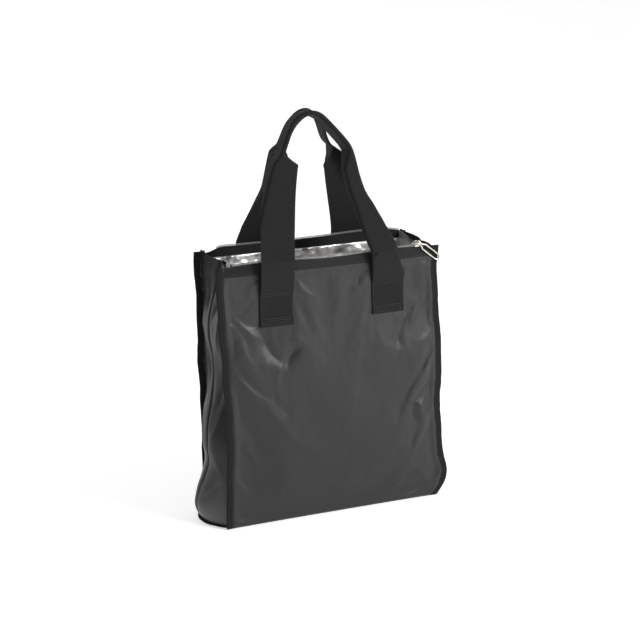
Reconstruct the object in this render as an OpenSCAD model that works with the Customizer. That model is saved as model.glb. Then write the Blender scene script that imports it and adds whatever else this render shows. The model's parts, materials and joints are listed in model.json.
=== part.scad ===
// Foldable zip-top tote bag: a soft box of three-layer walls with pleated side gussets,
// two webbing handle loops and a coil zip along the mouth.
// Frame: millimetres, +Z up, X along the mouth, front wall towards -Y,
// origin on the floor under the middle of the bag.

/* [Body] */
// Width of the front wall between its side seams
body_w = 290; // [270:1:310]
// Depth of the bag, front face to back face
body_d = 94; // [90:1:104]
// Height of the walls' sewn top edge
wall_h = 336.5; // [330:0.5:345]
// Height of the gussets, which reach the zip
gusset_h = 345; // [340:1:348]

/* [Layers] */
// Thickness of the outer nylon shell
shell_t = 0.8; // [0.6:0.1:1]
// Thickness of the foam between shell and lining
foam_t = 2; // [1.5:0.1:2.2]
// Thickness of the foil lining
lining_t = 0.6; // [0.5:0.1:0.8]

/* [Binding] */
// How far the bound seams stand out from the side seams
bind_w = 11; // [8:0.5:13]
// Thickness of a bound seam
bind_t = 2.6; // [2:0.1:3]

/* [Zip] */
// Height of the zip tape, from its lower edge to its coil
tape_h = 18.6; // [16:0.2:20]
// Radius of the zip coil
coil_r = 1.1; // [0.9:0.1:1.2]
// Left end of the tapes, measured from the middle
zip_left = 144; // [130:1:144]
// Right end of the front tape, measured from the middle
zip_right = 126; // [110:1:130]
// Where the open slider is parked, measured from the middle
slider_x = 120; // [104:1:124]
// Length of the slider
slider_l = 11; // [9:0.5:12]

/* [Pull] */
// Length of the wire pull, from its pin to its far end
pull_l = 40; // [30:1:44]
// Width of the wire pull between its wire centres
pull_w = 6.4; // [6:0.2:7]
// Radius of the pull's wire
wire_r = 0.9; // [0.7:0.1:1]
// Angle of the hanging pull below the horizontal
pull_drop = 38; // [20:1:45]

/* [Handles] */
// Width of the webbing
web_w = 45; // [38:1:50]
// Thickness of the webbing
web_t = 1.6; // [1.2:0.1:2]
// Height of the sewn-down square at each webbing end
patch_h = 44; // [36:1:48]
// Length of webbing from the stitch line up to the bag's rim
root_l = 42; // [40:0.5:44]
// Angle at which the webbing stands off the wall below the rim
root_out = 10.8; // [9:0.1:12]
// Angle at which a loop leans in from the rim
loop_in = 10; // [8:0.1:10]
// Thickness of the folded and sewn grip
grip_t = 3.8; // [3.4:0.1:4.4]
// Width of the folded grip
grip_w = 23.6; // [20:0.1:24]

/* [Hidden] */

// Gap between a piece that moves and its neighbour
gap = 0.3;
// The walls hang just clear of what the bag stands on
wall_z = 0.4;
// Depth planes of the front wall, from outside to inside
face_y = body_d / 2;
foam_y = face_y - shell_t;
lining_y = foam_y - foam_t;
inner_y = lining_y - lining_t;
// Heights of the foam's and the lining's top edges
foam_top = wall_h - 2.5;
lining_top = wall_h - 6.8;
// The gussets and the base end just inside the walls
soft_y = inner_y - gap;
// The base stops inside the gussets' lower ends
base_x = body_w / 2 - shell_t - foam_t - lining_t - 0.8;
wall_t = shell_t + foam_t + lining_t;
// The zip: the tape carries on up from the lining
tape_z = lining_top + gap;
coil_y = (lining_y + inner_y) / 2;
coil_z = tape_z + tape_h + coil_r;
// The slider runs on the front coil, with its keel between the two coils
keel_half = 0.5;
slider_y = coil_y - coil_r - keel_half - gap;
slider_half = 5;
slider_top = coil_z + coil_r + gap + 0.2;
pin_r = 0.8;
pin_z = slider_top + 3.1;
pull_y = face_y + wire_r + 1;
// Webbing: sewn squares end at the stitch line, and the roots start there
stitch_z = 310;
root_y = face_y + web_t;
root_z = stitch_z + 0.2;
rim_y = root_y + root_l * sin(root_out);
rim_z = root_z + root_l * cos(root_out) + gap;
// Each loop: feet, shoulders and grip height in its own leaning plane
front_feet = [-85, 74];
front_shoulders = [-66, 22];
front_shoulder_h = 136;
front_arch_h = 46;
rear_feet = [-76, 62];
rear_shoulders = [-47, 14];
rear_shoulder_h = 131;
rear_arch_h = 46;
// How far the gusset's middle crease stands out (+) or in (-) at each height
crease = [[0, 14], [25, 20], [55, 19], [90, 15], [130, 11], [190, 1], [270, -8], [345, -18]];
crease_levels = [for (row = crease) min(row[0], gusset_h)];
crease_foot = crease[0][1];
nylon = [0.24, 0.24, 0.25];
foil = [0.78, 0.78, 0.76];
web = [0.14, 0.14, 0.15];
tape = [0.18, 0.18, 0.19];
metal = [0.80, 0.79, 0.75];

// ---- gussets and base ----

// The six corners of a gusset layer at one height, on the right-hand side
function gusset_ring(z, from, to) = let (out = lookup(z, crease), x = body_w / 2)
    [[x - from, -soft_y, z], [x + out - from, 0, z], [x - from, soft_y, z],
     [x - to, soft_y, z], [x + out - to, 0, z], [x - to, -soft_y, z]];

module gusset_layer(from, to) {
    n = 6;
    levels = len(crease_levels);
    top = (levels - 1) * n;
    points = [for (z = crease_levels) each gusset_ring(z, from, to)];
    // Facing sheets share their diagonals, so the layer keeps its thickness
    sides = [for (k = [0:levels - 2], i = [0:n - 1])
        let (a = k * n + i, b = k * n + (i + 1) % n)
        each (i == 1 || i == 4 ? [[a, a + n, b], [a + n, b + n, b]] : [[a, a + n, b + n], [a, b + n, b]])];
    ends = [[0, 1, 4, 5], [1, 2, 3, 4], [top + 5, top + 4, top + 1, top], [top + 4, top + 3, top + 2, top + 1]];
    polyhedron(points, concat(sides, ends), convexity = 4);
}

// A gusset's foam is drawn in two halves, one with its nylon and one with its foil
module gusset_shell() { color(nylon) gusset_layer(0, wall_t / 2); }
module gusset_lining() { color(foil) gusset_layer(wall_t / 2, wall_t); }

// A level sheet of the base between two heights, its ends pointed like the gussets' feet
module base_layer(from, to) {
    tip = base_x + crease_foot;
    translate([0, 0, from]) linear_extrude(to - from)
        polygon([[-base_x, -soft_y], [base_x, -soft_y], [tip, 0],
                 [base_x, soft_y], [-base_x, soft_y], [-tip, 0]]);
}

module base_shell() { color(nylon) base_layer(0, shell_t); }
module base_foam() { color("white") base_layer(shell_t, shell_t + foam_t); }
module base_lining() { color(foil) base_layer(shell_t + foam_t, wall_t); }

// Outline of a bound seam: flat, with a rounded outer edge
module binding_outline() {
    translate([0, -bind_t / 2]) square([bind_w - bind_t / 2, bind_t]);
    translate([bind_w - bind_t / 2, 0]) circle(bind_t / 2, $fn = 48);
}

// The bound seam along the base's short edge, lying level round the gusset's foot
module base_binding() {
    near = body_w / 2 + 1;
    tip = near + crease_foot + 1;
    reach = soft_y - 2;
    out = bind_w - 2.5;
    color(tape) translate([0, 0, wall_z]) linear_extrude(bind_t)
        polygon([[near, -reach], [near + out, -reach], [tip + out, 0],
                 [near + out, reach], [near, reach], [tip, 0]]);
}

// The end of the rear tape, carried round to the slider over the folded gusset
module zip_end_tape() {
    start = [zip_right + 16, soft_y - 1];
    end = [slider_x + slider_l / 2 + 1.5, -soft_y + 6.5];
    color(tape) translate([0, 0, gusset_h + gap]) linear_extrude(4.5)
        polygon([start, end, end - [0.7, 0], start - [0.7, 0]]);
}

// ---- walls: each is drawn as the front one, and mirrored for the rear ----

module wall_layer(from, to, top, half) {
    translate([-half, -from, wall_z]) cube([2 * half, from - to, top - wall_z]);
}

module wall_shell() { color(nylon) wall_layer(face_y, foam_y, wall_h, body_w / 2); }
module wall_foam() { color("white") wall_layer(foam_y, lining_y, foam_top, body_w / 2 - 2); }
module wall_lining() { color(foil) wall_layer(lining_y, inner_y, lining_top, body_w / 2 - 1); }

// A bound side seam, standing out sideways in the wall's own plane
module wall_binding() {
    color(tape) translate([body_w / 2, -face_y + bind_t / 2, wall_z + 1])
        linear_extrude(gusset_h - wall_z - 1) binding_outline();
}

module zip_tape(right) {
    color(tape) translate([-zip_left, -lining_y, tape_z]) cube([zip_left + right, lining_t, tape_h]);
}

module zip_coil(right) {
    color(metal) translate([-zip_left, -coil_y, coil_z]) rotate([0, 90, 0])
        cylinder(r = coil_r, h = zip_left + right, $fn = 48);
}

// The crimped stop at the closed end of each coil
module zip_stop() {
    stop = [2.4, 1.8, 3.4];
    color(metal) translate([-zip_left - stop[0], -coil_y - stop[1] / 2, coil_z - stop[2] / 2]) cube(stop);
}

// A webbing end sewn flat on the wall
module patch(x) {
    color(web) translate([x - web_w / 2, -root_y, stitch_z - patch_h]) cube([web_w, web_t, patch_h]);
}

// ---- handles: drawn for the front wall, and mirrored for the rear ----

// The webbing between the stitch line and the rim, standing a little off the wall
module strap_root(x) {
    color(web) translate([x - web_w / 2, -root_y, root_z]) rotate([root_out, 0, 0])
        cube([web_w, web_t, root_l]);
}

// Places a drawing made in (x, height) on the loop's leaning plane, with depth going inwards
module in_loop_plane(depth) {
    translate([0, -rim_y, rim_z]) rotate([-loop_in, 0, 0]) translate([0, depth, 0])
        rotate([90, 0, 0]) linear_extrude(depth) children();
}

// Flat webbing that climbs from the rim and narrows into the folded grip
module riser(foot, shoulder, height) {
    start = 0.9;
    neck = height - 20;
    neck_x = foot + (shoulder - foot) * neck / height;
    neck_half = web_w * 0.42;
    color(web) in_loop_plane(web_t)
        polygon([[foot - web_w / 2, start], [foot + web_w / 2, start],
                 [neck_x + neck_half, neck], [shoulder + grip_t, height],
                 [shoulder - grip_t, height], [neck_x - neck_half, neck]]);
}

// The arched grip: webbing folded in half lengthwise, its edges towards the other handle
module grip(shoulders, height, rise) {
    steps = 24;
    middle = (shoulders[0] + shoulders[1]) / 2;
    reach = (shoulders[1] - shoulders[0]) / 2;
    function arc(grow) = [for (i = [0:steps]) let (a = 180 * i / steps)
        [middle + (reach + grow) * cos(a), height + (rise + grow) * sin(a)]];
    outer = arc(grip_t / 2);
    inner = arc(-grip_t / 2);
    color(web) in_loop_plane(grip_w)
        polygon(concat(outer, [for (i = [steps:-1:0]) inner[i]]));
}

// ---- slider and pull ----

module slider_body() {
    wing_t = 1.4;
    wall = 0.8;
    half_l = slider_l / 2;
    keel_z = coil_z - 4.5;
    color(metal) translate([slider_x, -slider_y, 0]) {
        translate([-half_l, -slider_half, slider_top]) cube([slider_l, 2 * slider_half, wing_t]);
        for (side = [-1, 1])
            translate([-half_l, side * (slider_half - wall / 2) - wall / 2, slider_top - 2.5])
                cube([slider_l, wall, 2.5]);
        translate([0, -keel_half, keel_z]) cube([half_l, 2 * keel_half, slider_top - keel_z]);
        translate([-half_l, -keel_half, keel_z]) cube([slider_l, 2 * keel_half, 1]);
        // the lug that carries the pull's pin
        difference() {
            translate([-2.4, -2, slider_top + wing_t]) cube([4.8, 4, pin_z + 1.8 - slider_top - wing_t]);
            translate([0, 3, pin_z]) rotate([90, 0, 0]) cylinder(r = pin_r, h = 6, $fn = 48);
        }
    }
}

module slider_pin() {
    head_t = 0.9;
    tip = pull_y + wire_r + 0.15;
    color(metal) translate([slider_x, 0, pin_z]) rotate([90, 0, 0]) {
        translate([0, 0, slider_y - 2]) cylinder(r = pin_r, h = tip - slider_y + 2, $fn = 48);
        translate([0, 0, tip]) cylinder(r = pin_r + 0.9, h = head_t, $fn = 48);
    }
}

// Outline of the pull's long loop, as far out as r, tapering back to the eye
module pull_outline(r, tip) {
    neck_x = 9;
    end_x = pull_l - pull_w / 2 - wire_r;
    translate([neck_x, -r]) square([end_x - neck_x, 2 * r]);
    translate([end_x, 0]) circle(r, $fn = 64);
    polygon([[tip, -r * 0.3], [neck_x, -r], [neck_x, r], [tip, r * 0.3]]);
}

// The wire pull: an eye on the pin and a long closed loop
module zip_pull() {
    eye_r = pin_r + 0.06;
    eye_out = eye_r + 1.5;
    color(metal) translate([slider_x, -pull_y, pin_z]) rotate([90, pull_drop, 0])
        translate([0, 0, -wire_r]) linear_extrude(2 * wire_r) difference() {
            union() {
                circle(eye_out, $fn = 48);
                pull_outline(pull_w / 2 + wire_r, 1.6);
            }
            circle(eye_r, $fn = 48);
            pull_outline(pull_w / 2 - wire_r, 5.4);
        }
}

// ---- the nodes ----

mirror([1, 0, 0]) gusset_shell();  // gusset_left_shell
mirror([1, 0, 0]) gusset_lining();  // gusset_left_lining
gusset_shell();  // gusset_right_shell
gusset_lining();  // gusset_right_lining
base_shell();
base_foam();
base_lining();
mirror([1, 0, 0]) base_binding();  // base_binding_left
base_binding();  // base_binding_right
zip_end_tape();

wall_shell();  // front_shell
wall_foam();  // front_foam
wall_lining();  // front_lining
mirror([1, 0, 0]) wall_binding();  // front_binding_left
wall_binding();  // front_binding_right
zip_tape(zip_right);  // front_zip_tape
zip_coil(zip_right - 2);  // front_zip_coil
zip_stop();  // front_zip_stop
patch(front_feet[0]);  // front_patch_left
patch(front_feet[1]);  // front_patch_right

mirror([0, 1, 0]) wall_shell();  // rear_shell
mirror([0, 1, 0]) wall_foam();  // rear_foam
mirror([0, 1, 0]) wall_lining();  // rear_lining
mirror([0, 1, 0]) mirror([1, 0, 0]) wall_binding();  // rear_binding_left
mirror([0, 1, 0]) wall_binding();  // rear_binding_right
mirror([0, 1, 0]) zip_tape(zip_right + 16);  // rear_zip_tape
mirror([0, 1, 0]) zip_coil(zip_right + 14);  // rear_zip_coil
mirror([0, 1, 0]) zip_stop();  // rear_zip_stop
mirror([0, 1, 0]) patch(rear_feet[0]);  // rear_patch_left
mirror([0, 1, 0]) patch(rear_feet[1]);  // rear_patch_right

strap_root(front_feet[0]);  // front_strap_root_left
strap_root(front_feet[1]);  // front_strap_root_right
mirror([0, 1, 0]) strap_root(rear_feet[0]);  // rear_strap_root_left
mirror([0, 1, 0]) strap_root(rear_feet[1]);  // rear_strap_root_right

riser(front_feet[0], front_shoulders[0], front_shoulder_h);  // front_riser_left
riser(front_feet[1], front_shoulders[1], front_shoulder_h);  // front_riser_right
grip(front_shoulders, front_shoulder_h, front_arch_h);  // front_grip
mirror([0, 1, 0]) riser(rear_feet[0], rear_shoulders[0], rear_shoulder_h);  // rear_riser_left
mirror([0, 1, 0]) riser(rear_feet[1], rear_shoulders[1], rear_shoulder_h);  // rear_riser_right
mirror([0, 1, 0]) grip(rear_shoulders, rear_shoulder_h, rear_arch_h);  // rear_grip

slider_body();
slider_pin();
zip_pull();
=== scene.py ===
import json
import math
import bpy
import numpy as np
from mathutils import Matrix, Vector, noise


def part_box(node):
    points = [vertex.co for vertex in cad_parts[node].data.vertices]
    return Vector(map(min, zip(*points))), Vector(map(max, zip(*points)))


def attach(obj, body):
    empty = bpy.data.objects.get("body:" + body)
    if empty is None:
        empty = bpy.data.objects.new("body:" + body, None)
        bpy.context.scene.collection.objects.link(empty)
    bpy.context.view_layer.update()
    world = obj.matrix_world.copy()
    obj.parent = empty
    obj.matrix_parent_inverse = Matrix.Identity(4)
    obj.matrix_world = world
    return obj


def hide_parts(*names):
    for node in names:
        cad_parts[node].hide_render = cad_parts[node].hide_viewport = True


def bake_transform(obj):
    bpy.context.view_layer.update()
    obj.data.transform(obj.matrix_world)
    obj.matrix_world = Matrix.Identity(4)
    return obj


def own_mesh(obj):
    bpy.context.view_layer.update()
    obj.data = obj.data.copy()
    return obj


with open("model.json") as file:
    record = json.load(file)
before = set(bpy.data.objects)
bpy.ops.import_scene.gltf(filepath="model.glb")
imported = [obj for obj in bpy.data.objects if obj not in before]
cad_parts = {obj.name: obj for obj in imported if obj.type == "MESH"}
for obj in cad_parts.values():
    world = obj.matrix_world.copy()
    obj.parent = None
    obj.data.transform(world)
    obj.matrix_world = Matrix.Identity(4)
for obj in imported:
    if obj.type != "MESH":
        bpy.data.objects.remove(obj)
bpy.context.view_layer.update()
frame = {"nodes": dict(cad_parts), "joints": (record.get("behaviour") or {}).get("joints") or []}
mm = 0.001
print("frame loaded:", len(frame["nodes"]), "parts")


class Wire:
    # a socket that can be used in sums
    def __init__(self, finish, out):
        self.finish, self.out = finish, out

    def sum(self, kind, other=0.0, swapped=False):
        first, second = (other, self) if swapped else (self, other)
        return self.finish.add("ShaderNodeMath", {"operation": kind}, {0: first, 1: second})

    def __add__(self, other): return self.sum("ADD", other)
    def __radd__(self, other): return self.sum("ADD", other, True)
    def __sub__(self, other): return self.sum("SUBTRACT", other)
    def __rsub__(self, other): return self.sum("SUBTRACT", other, True)
    def __mul__(self, other): return self.sum("MULTIPLY", other)
    def __rmul__(self, other): return self.sum("MULTIPLY", other, True)


class Finish:
    # a material, with one method that adds any node
    def __init__(self, name, **shader):
        self.material = bpy.data.materials.new(name)
        self.material.use_nodes = True
        self.tree = self.material.node_tree
        self.shader = self.tree.nodes["Principled BSDF"]
        for socket, value in shader.items():
            self.shader.inputs[socket.replace("_", " ")].default_value = value

    def add(self, kind, settings=None, sockets=None, out=0):
        node = self.tree.nodes.new(kind)
        for name, value in (settings or {}).items():
            if name == "stops":
                ramp = node.color_ramp
                while len(ramp.elements) < len(value):
                    ramp.elements.new(0.5)
                for element, (place, shade) in zip(ramp.elements, value):
                    element.position = place
                    element.color = (*shade, 1) if hasattr(shade, "__len__") else (shade, shade, shade, 1)
            else:
                setattr(node, name, value)
        for name, value in (sockets or {}).items():
            if isinstance(value, Wire):
                self.tree.links.new(value.out, node.inputs[name])
            else:
                node.inputs[name].default_value = value
        return Wire(self, node.outputs[out])

    def feed(self, **sockets):
        for name, wire in sockets.items():
            self.tree.links.new(wire.out, self.shader.inputs[name.replace("_", " ")])

    def place(self):
        # where each point was made, so that a grain stays with its cloth as it moves
        return self.add("ShaderNodeAttribute", {"attribute_name": "lay"}, out="Vector")

    def cloth(self):
        # how each point lies on its flat cloth, in metres
        return self.add("ShaderNodeAttribute", {"attribute_name": "cloth"}, out="Vector")

    def split(self, vector):
        parts = self.add("ShaderNodeSeparateXYZ", None, {"Vector": vector})
        return [Wire(self, parts.out.node.outputs[i]) for i in range(3)]

    def cells(self, vector, scale, detail=4.0, rough=0.55, stretch=(1, 1, 1)):
        moved = self.add("ShaderNodeMapping", None, {"Vector": vector, "Scale": stretch})
        sockets = {"Vector": moved, "Scale": scale, "Detail": detail, "Roughness": rough}
        return self.add("ShaderNodeTexNoise", None, sockets)

    def sine(self, value):
        return self.add("ShaderNodeMath", {"operation": "SINE"}, {0: value})

    def mixed(self, share, first, second):
        sockets = {"Factor": share, 6: (*first, 1) if hasattr(first, "__len__") else first}
        sockets[7] = (*second, 1) if hasattr(second, "__len__") else second
        return self.add("ShaderNodeMix", {"data_type": "RGBA"}, sockets, out=2)

    def bumps(self, *layers):
        # each layer is (height, strength, distance)
        last = None
        for height, strength, distance in layers:
            sockets = {"Height": height, "Strength": strength, "Distance": distance}
            if last is not None:
                sockets["Normal"] = last
            last = self.add("ShaderNodeBump", None, sockets)
        self.feed(Normal=last)


def makePiece(name, points, faces, finish, cloth=None, smooth=True):
    mesh = bpy.data.meshes.new(name)
    mesh.from_pydata([tuple(p) for p in points], [], faces)
    lay = mesh.attributes.new("lay", "FLOAT_VECTOR", "POINT")
    lay.data.foreach_set("vector", np.array([tuple(p) for p in points], np.float32).ravel())
    if cloth is not None:
        layer = mesh.attributes.new("cloth", "FLOAT_VECTOR", "POINT")
        flat = np.zeros((len(points), 3), np.float32)
        flat[:, :2] = np.asarray(cloth, np.float32)
        layer.data.foreach_set("vector", flat.ravel())
    if smooth:
        mesh.polygons.foreach_set("use_smooth", [True] * len(mesh.polygons))
    mesh.validate()
    mesh.update()
    piece = bpy.data.objects.new(name, mesh)
    bpy.context.scene.collection.objects.link(piece)
    piece.data.materials.append(finish.material)
    return piece


def roundEdges(piece, width, segments, angle):
    bevel = piece.modifiers.new("edges", "BEVEL")
    bevel.width = width
    bevel.segments = segments
    bevel.limit_method = "ANGLE"
    bevel.angle_limit = math.radians(angle)


def thicken(piece, thick, offset, edge=0.0):
    # gives a single sheet its thickness and rounds its cut edges
    solid = piece.modifiers.new("thickness", "SOLIDIFY")
    solid.thickness = thick
    solid.offset = offset
    if edge:
        roundEdges(piece, edge, 2, 60)
    with bpy.context.temp_override(object=piece, active_object=piece, selected_objects=[piece]):
        for modifier in list(piece.modifiers):
            bpy.ops.object.modifier_apply(modifier=modifier.name)


def gridFaces(nu, nv, start=0, flip=False, around=False):
    faces = []
    span = nu if around else nu - 1
    for j in range(nv - 1):
        for i in range(span):
            k = (i + 1) % nu
            a, b = start + j * nu + i, start + j * nu + k
            c, d = start + (j + 1) * nu + k, start + (j + 1) * nu + i
            faces.append((a, d, c, b) if flip else (a, b, c, d))
    return faces


def closeRim(faces, nu, nv, flip=False):
    # joins the edges of two grids, one behind the other, so that the cloth is closed
    count = nu * nv
    rim = [j * nu for j in range(nv)] + [(nv - 1) * nu + i for i in range(1, nu)]
    rim += [j * nu + nu - 1 for j in range(nv - 2, -1, -1)] + list(range(nu - 2, 0, -1))
    for a, b in zip(rim, rim[1:] + rim[:1]):
        faces.append((b, a, a + count, b + count) if flip else (a, b, b + count, a + count))


def sheetFaces(nu, nv, flip, rimFlip):
    faces = gridFaces(nu, nv, 0, flip) + gridFaces(nu, nv, nu * nv, not flip)
    closeRim(faces, nu, nv, rimFlip)
    return faces


def rise(t):
    # an even step from 0 to 1
    t = np.clip(t, 0.0, 1.0)
    return t * t * (3 - 2 * t)


def through(table, x):
    # a smooth curve through a short table of (place, value)
    places = np.array([row[0] for row in table], float)
    values = np.array([row[1] for row in table], float)
    x = np.clip(np.asarray(x, float), places[0], places[-1])
    k = np.clip(np.searchsorted(places, x, side="right") - 1, 0, len(places) - 2)
    slopes = np.gradient(values, places)
    gap = places[k + 1] - places[k]
    t = (x - places[k]) / gap
    h00, h10 = 2 * t**3 - 3 * t**2 + 1, t**3 - 2 * t**2 + t
    h01, h11 = -2 * t**3 + 3 * t**2, t**3 - t**2
    return h00 * values[k] + h10 * gap * slopes[k] + h01 * values[k + 1] + h11 * gap * slopes[k + 1]


def spline(p0, p1, p2, p3, t):
    # a point of the smooth curve between p1 and p2
    bend = (2 * p0 - 5 * p1 + 4 * p2 - p3) * t * t
    return 0.5 * ((2 * p1) + (p2 - p0) * t + bend + (3 * p1 - p0 - 3 * p2 + p3) * t**3)


def cloud(x, z, size, seed, stretch=(1.0, 1.0)):
    # soft seeded noise on a grid, from -1 to 1
    flat = [noise.noise(Vector((a / size * stretch[0], b / size * stretch[1], seed * 7.31)))
            for a, b in zip(np.ravel(x), np.ravel(z))]
    return np.array(flat).reshape(np.shape(x))


def folds(x, z, rows):
    # each row is (x0, z0, x1, z1, width, height, crispness): a crease that fades towards its ends
    total = np.zeros_like(x)
    for x0, z0, x1, z1, width, height, crisp in rows:
        dx, dz = x1 - x0, z1 - z0
        length = math.hypot(dx, dz)
        t = ((x - x0) * dx + (z - z0) * dz) / length**2
        side = ((x - x0) * dz - (z - z0) * dx) / length
        bow = side - 0.06 * length * np.sin(np.clip(t, 0, 1) * math.pi)
        fade = rise(np.minimum(t + 0.12, 1.12 - t) / 0.42)
        soft = width * (1 - crisp)
        across = np.exp(-(np.sqrt(bow**2 + soft**2) - soft) / width)
        total += height * fade * across
    return total



def tint(shade, share):
    return tuple(c * share for c in shade)


nylonWeave = {"thread": 0.00042, "pick": 0.00046}


def makeNylon(name, base=(0.0190, 0.0182, 0.0192), shine=0.36, footPaintedLight=1.0):
    nylon = Finish(name, Roughness=0.4, Sheen_Weight=0.03, Sheen_Roughness=0.45, Specular_IOR_Level=shine)
    place = nylon.place()
    across, along, _ = nylon.split(nylon.cloth())
    _, _, height = nylon.split(place)
    threads = nylon.sine(across * (math.tau / nylonWeave["thread"]))
    weave = threads * nylon.sine(along * (math.tau / nylonWeave["pick"]))
    crumple = nylon.cells(place, 40.0, 4.0, 0.55)
    fine = nylon.cells(place, 170.0, 3.0, 0.5)
    patchy = nylon.cells(place, 9.0, 2.0, 0.5)
    shade = nylon.mixed(patchy, tint(base, 0.95), tint(base, 1.07))
    if footPaintedLight > 1:
        # painted light: the colour turns paler towards the cloth's foot, standing in for light falling there
        shade = nylon.mixed(1.0 - 8.0 * height, shade, tint(base, footPaintedLight))
    nylon.feed(Base_Color=shade, Roughness=0.31 + 0.09 * patchy)
    nylon.bumps((crumple, 0.26, 0.0014), (fine, 0.12, 0.0004), (weave, 0.10, 0.00008))
    return nylon


def makeFoil():
    foil = Finish("foilFilm", Metallic=0.6, Roughness=0.3)
    place = foil.place()
    wobble = foil.cells(place, 14.0, 3.0, 0.5)
    facets = foil.add("ShaderNodeTexVoronoi", {"feature": "F1"}, {"Vector": place, "Scale": 42.0})
    small = foil.add("ShaderNodeTexVoronoi", {"feature": "F1"}, {"Vector": place, "Scale": 150.0})
    crinkle = foil.cells(place, 70.0, 4.0, 0.6)
    streaks = foil.cells(place, 30.0, 2.0, 0.5, (1.0, 1.0, 1.6))
    # painted reflections: the foil's colour switches between dark grey and near-white in patches, standing in
    # for the crumpled film mirroring dark and bright surroundings
    stops = [(0.40, 0.0), (0.50, 1.0)]
    reflectionPatchMask = foil.add("ShaderNodeValToRGB", {"stops": stops}, {"Fac": 0.8 * streaks + 0.2 * wobble})
    shade = foil.mixed(reflectionPatchMask, (0.24, 0.24, 0.245), (0.95, 0.935, 0.91))
    foil.feed(Base_Color=shade, Roughness=0.24 + 0.16 * crinkle)
    foil.bumps((facets, 0.6, 0.0040), (small, 0.12, 0.0006), (crinkle, 0.16, 0.0008))
    return foil


def makeWebbing(name, base=(0.0112, 0.0105, 0.0109), rib=0.00125, row=0.0021):
    web = Finish(name, Roughness=0.78, Sheen_Weight=0.05, Sheen_Roughness=0.5, Specular_IOR_Level=0.2)
    place = web.place()
    across, along, _ = web.split(web.cloth())
    warp = web.sine(across * (math.tau / rib))
    weft = web.sine(along * (math.tau / row))
    basket = warp * weft
    ribs = 0.5 + 0.5 * weft
    fuzz = web.cells(place, 900.0, 2.0, 0.6)
    patchy = web.cells(place, 22.0, 3.0, 0.55)
    lift = 0.30 * (0.5 + 0.5 * basket) + 0.35 * ribs + 0.35 * patchy
    shade = web.mixed(lift, tint(base, 0.62), tint(base, 1.5))
    web.feed(Base_Color=shade, Roughness=0.70 + 0.18 * patchy)
    web.bumps((ribs, 0.55, 0.00045), (basket, 0.5, 0.00035), (fuzz, 0.2, 0.00012))
    return web


def makeTape(name, base=(0.0112, 0.0105, 0.0110), rib=0.0014, ribsAlong=False):
    tape = Finish(name, Roughness=0.82, Sheen_Weight=0.04, Sheen_Roughness=0.5, Specular_IOR_Level=0.18)
    place = tape.place()
    across, along, _ = tape.split(tape.cloth())
    ribs = tape.sine((across if ribsAlong else along) * (math.tau / rib))
    fuzz = tape.cells(place, 700.0, 3.0, 0.6)
    patchy = tape.cells(place, 30.0, 3.0, 0.55)
    shade = tape.mixed(0.5 * (0.5 + 0.5 * ribs) + 0.5 * patchy, tint(base, 0.65), tint(base, 1.55))
    tape.feed(Base_Color=shade, Roughness=0.74 + 0.16 * patchy)
    tape.bumps((ribs, 0.6, 0.0004), (fuzz, 0.25, 0.00015))
    return tape


def makeThread(name, shade):
    thread = Finish(name, Roughness=0.6, Sheen_Weight=0.3)
    twist = thread.cells(thread.place(), 1500.0, 2.0, 0.5)
    colour = thread.mixed(twist, tint(shade, 0.75), tint(shade, 1.3))
    thread.feed(Base_Color=colour, Roughness=0.5 + 0.2 * twist)
    thread.bumps((twist, 0.3, 0.0001))
    return thread


def makeMetal():
    metal = Finish("platedMetal", Metallic=1.0, Roughness=0.2)
    place = metal.place()
    wear = metal.cells(place, 260.0, 4.0, 0.6)
    dull = metal.cells(place, 60.0, 3.0, 0.55)
    shade = metal.mixed(dull, (0.50, 0.475, 0.43), (0.68, 0.66, 0.61))
    metal.feed(Base_Color=shade, Roughness=0.12 + 0.22 * wear)
    metal.bumps((wear, 0.12, 0.0001))
    return metal


def makeCoil():
    coil = Finish("coilPlastic", Roughness=0.42, Specular_IOR_Level=0.5)
    dull = coil.cells(coil.place(), 300.0, 3.0, 0.5)
    shade = coil.mixed(dull, (0.30, 0.30, 0.295), (0.46, 0.46, 0.45))
    coil.feed(Base_Color=shade, Roughness=0.34 + 0.2 * dull)
    coil.bumps((dull, 0.2, 0.0001))
    return coil


nylon = makeNylon("nylonCloth")
# painted shade: a darker, less shiny copy of the nylon for the side panels, also made paler towards the foot
# with painted light
sideNylonShadeAndLight = makeNylon("nylonSidePaintedShadeAndLight", (0.0165, 0.0158, 0.0164), 0.1, 7.0)
foil = makeFoil()
webbing = makeWebbing("handleWebbing")
bindingTape = makeTape("bindingTape")
zipTape = makeTape("zipTape", (0.0235, 0.0228, 0.0238), 0.0011, True)
thread = makeThread("blackThread", (0.013, 0.0125, 0.013))
metal = makeMetal()
coilPlastic = makeCoil()
print("finishes ready")


frontLow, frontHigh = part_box("front_shell")
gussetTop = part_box("gusset_right_shell")[1].z
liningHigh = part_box("front_lining")[1]
coilLow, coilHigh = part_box("front_zip_coil")
halfWide = frontHigh.x
faceY = -frontLow.y
innerY = -liningHigh.y
wallTop = frontHigh.z
print("wall", round(halfWide, 4), round(faceY, 4), round(wallTop, 4))

body = {
    # how far each side seam lies from the straight one, (height, shift), in mm; + is outwards
    "seamShift": {
        "frontLeft": [(0, 2.5), (53, 1.5), (143, 1), (214, 6), (269, 10.5), (308, 12), (345, 14)],
        "frontRight": [(0, 0), (12, 10), (32, 16), (55, 10), (87, 6.5), (113, 4.5), (198, 4), (231, 2),
                       (290, -3), (322, -5), (350, -3)],
        "rearLeft": [(0, -1), (46, -3), (80, -3.5), (117, -2), (164, -1), (209, 1), (296, 2.5), (352, 5)],
        "rearRight": [(0, 1), (46, 2), (117, 1), (209, 1.5), (296, 0.5), (352, -3)],
    },
    "bulge": 7.6,        # how far a wall stands out at its middle, mm
    "footRadius": 3.6,   # how round the fold into the base is, mm
    "footBack": 1.2,     # how far the middle of the foot is set back, mm
    "columns": 136,
    "rows": 156,
}

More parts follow.
